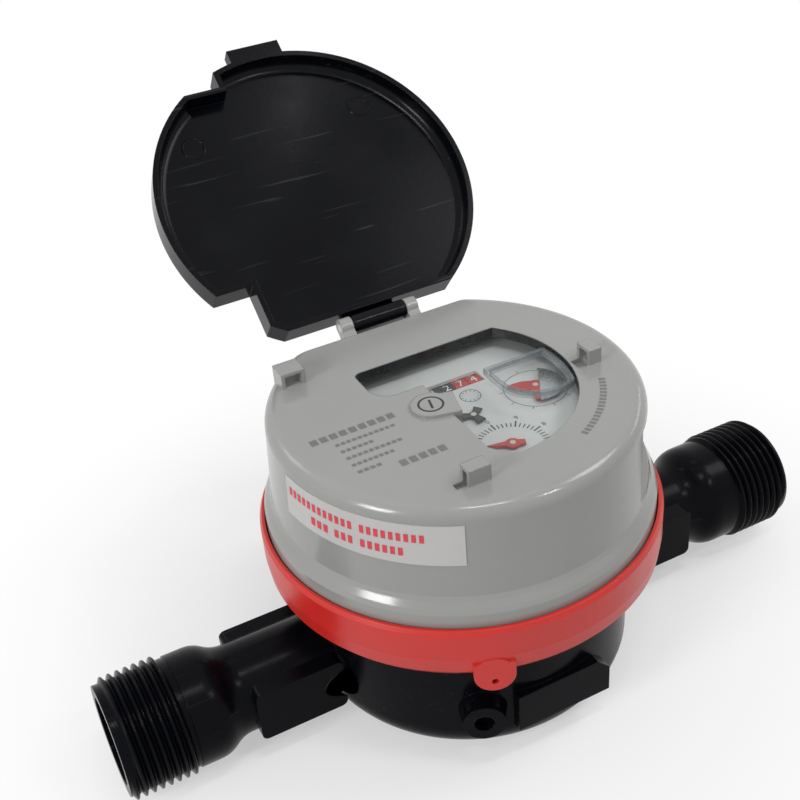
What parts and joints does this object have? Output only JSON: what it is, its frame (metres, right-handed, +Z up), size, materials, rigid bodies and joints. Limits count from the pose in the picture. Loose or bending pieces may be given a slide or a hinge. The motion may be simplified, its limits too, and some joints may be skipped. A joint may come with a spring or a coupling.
{
  "type": "water meter",
  "caption": "Inline water meter with threaded pipe ends, an impeller driving a geared register with number drums and pointers, and a hinged lid over a clear window.",
  "frame": {"origin": "centre of the flat underside, on the impeller axis", "axes": "+X along the flow from inlet to outlet, +Y towards the lid hinge, +Z up"},
  "size_m": [0.17, 0.1391, 0.1172],
  "materials": {
    "black_plastic": "moulded, satin",
    "seal_red": "moulded, semi-gloss",
    "housing_grey": "moulded, gloss",
    "sticker_white": "printed film",
    "clear_plastic": "polished",
    "dial_white": "printed plate",
    "gear_plastic": "moulded acetal",
    "pointer_red": "moulded",
    "drum_black": "moulded",
    "drum_red": "moulded",
    "steel": "turned",
    "brass": "turned",
    "magnet": "sintered ferrite",
    "rubber": "moulded",
    "cup_plastic": "moulded",
    "white_plastic": "moulded"
  },
  "bodies": {
    "meter": {"body": "black_plastic", "plug_screw": "black_plastic", "inlet_strainer": "white_plastic", "pivot_pin": "steel", "chamber_cover": "black_plastic", "bearing_bush": "brass", "chamber_o_ring": "rubber", "seal_ring": "seal_red", "register_cup": "cup_plastic", "register_housing": "housing_grey", "sticker": "sticker_white", "lens_gasket": "rubber", "lens": "clear_plastic", "dial_plate": "dial_white", "dial_carrier": "white_plastic", "movement_plate": "brass", "pillars": "brass", "drum_shaft": "steel", "hinge_pin": "steel"},
    "lid": {"lid": "black_plastic"},
    "impeller": {"impeller": "white_plastic", "impeller_magnet": "magnet"},
    "drive_spindle": {"drive_spindle": "gear_plastic", "driven_magnet": "magnet"},
    "first_wheel": {"first_wheel": "gear_plastic"},
    "litre_wheel": {"litre_wheel": "gear_plastic", "litre_pointer": "pointer_red"},
    "target_wheel": {"target_wheel": "gear_plastic", "target_pointer": "pointer_red", "target_plate": "steel"},
    "star_wheel": {"star_wheel": "gear_plastic", "leak_star": "drum_black"},
    "worm_arbor": {"worm_arbor": "gear_plastic"},
    "drum_1": {"drum_1": "drum_red"},
    "drum_2": {"drum_2": "drum_red"},
    "drum_3": {"drum_3": "drum_black"},
    "drum_4": {"drum_4": "drum_black"},
    "drum_5": {"drum_5": "drum_black"},
    "drum_6": {"drum_6": "drum_black"},
    "drum_7": {"drum_7": "drum_black"}
  },
  "joints": [
    {"name": "lid_hinge", "type": "hinge", "parent": "meter", "child": "lid", "pos_m": [0, 0.0346, 0.0702], "axis": [1, 0, 0], "range_deg": [0, 141.5]},
    {"name": "impeller_spin", "type": "hinge", "parent": "meter", "child": "impeller", "pos_m": [0, 0, 0.0135], "axis": [0, 0, 1], "continuous": true},
    {"name": "spindle_spin", "type": "hinge", "parent": "meter", "child": "drive_spindle", "pos_m": [0, 0, 0.05], "axis": [0, 0, 1], "continuous": true},
    {"name": "first_spin", "type": "hinge", "parent": "meter", "child": "first_wheel", "pos_m": [-0.00629, -0.01022, 0.05], "axis": [0, 0, 1], "continuous": true},
    {"name": "litre_spin", "type": "hinge", "parent": "meter", "child": "litre_wheel", "pos_m": [0.004, -0.0164, 0.05], "axis": [0, 0, 1], "continuous": true},
    {"name": "target_spin", "type": "hinge", "parent": "meter", "child": "target_wheel", "pos_m": [0.01899, -0.00141, 0.05], "axis": [0, 0, 1], "continuous": true},
    {"name": "star_spin", "type": "hinge", "parent": "meter", "child": "star_wheel", "pos_m": [0.00246, -0.00365, 0.05], "axis": [0, 0, 1], "continuous": true},
    {"name": "worm_spin", "type": "hinge", "parent": "meter", "child": "worm_arbor", "pos_m": [0.0132, 0.01393, 0.05], "axis": [0, 0, 1], "continuous": true},
    {"name": "drum_1_spin", "type": "hinge", "parent": "meter", "child": "drum_1", "pos_m": [0.0102, 0.0096, 0.0589], "axis": [1, 0, 0], "continuous": true},
    {"name": "drum_2_spin", "type": "hinge", "parent": "meter", "child": "drum_2", "pos_m": [0.0069, 0.0096, 0.0589], "axis": [1, 0, 0], "continuous": true},
    {"name": "drum_3_spin", "type": "hinge", "parent": "meter", "child": "drum_3", "pos_m": [0.0036, 0.0096, 0.0589], "axis": [1, 0, 0], "continuous": true},
    {"name": "drum_4_spin", "type": "hinge", "parent": "meter", "child": "drum_4", "pos_m": [0.0003, 0.0096, 0.0589], "axis": [1, 0, 0], "continuous": true},
    {"name": "drum_5_spin", "type": "hinge", "parent": "meter", "child": "drum_5", "pos_m": [-0.003, 0.0096, 0.0589], "axis": [1, 0, 0], "continuous": true},
    {"name": "drum_6_spin", "type": "hinge", "parent": "meter", "child": "drum_6", "pos_m": [-0.0063, 0.0096, 0.0589], "axis": [1, 0, 0], "continuous": true},
    {"name": "drum_7_spin", "type": "hinge", "parent": "meter", "child": "drum_7", "pos_m": [-0.0096, 0.0096, 0.0589], "axis": [1, 0, 0], "continuous": true}
  ],
  "couplings": [
    {"joint": "spindle_spin", "follows": "impeller_spin", "ratio": 1},
    {"joint": "first_spin", "follows": "impeller_spin", "ratio": -0.25},
    {"joint": "litre_spin", "follows": "impeller_spin", "ratio": 0.0625},
    {"joint": "target_spin", "follows": "impeller_spin", "ratio": -0.041016},
    {"joint": "star_spin", "follows": "impeller_spin", "ratio": -1},
    {"joint": "worm_spin", "follows": "impeller_spin", "ratio": 0.14583},
    {"joint": "drum_1_spin", "follows": "impeller_spin", "ratio": -0.0072917},
    {"joint": "drum_2_spin", "follows": "impeller_spin", "ratio": -0.00072917},
    {"joint": "drum_3_spin", "follows": "impeller_spin", "ratio": -0.000072917},
    {"joint": "drum_4_spin", "follows": "impeller_spin", "ratio": -0.0000072917},
    {"joint": "drum_5_spin", "follows": "impeller_spin", "ratio": -0.00000072917},
    {"joint": "drum_6_spin", "follows": "impeller_spin", "ratio": -0.000000072917},
    {"joint": "drum_7_spin", "follows": "impeller_spin", "ratio": -0.0000000072917}
  ]
}
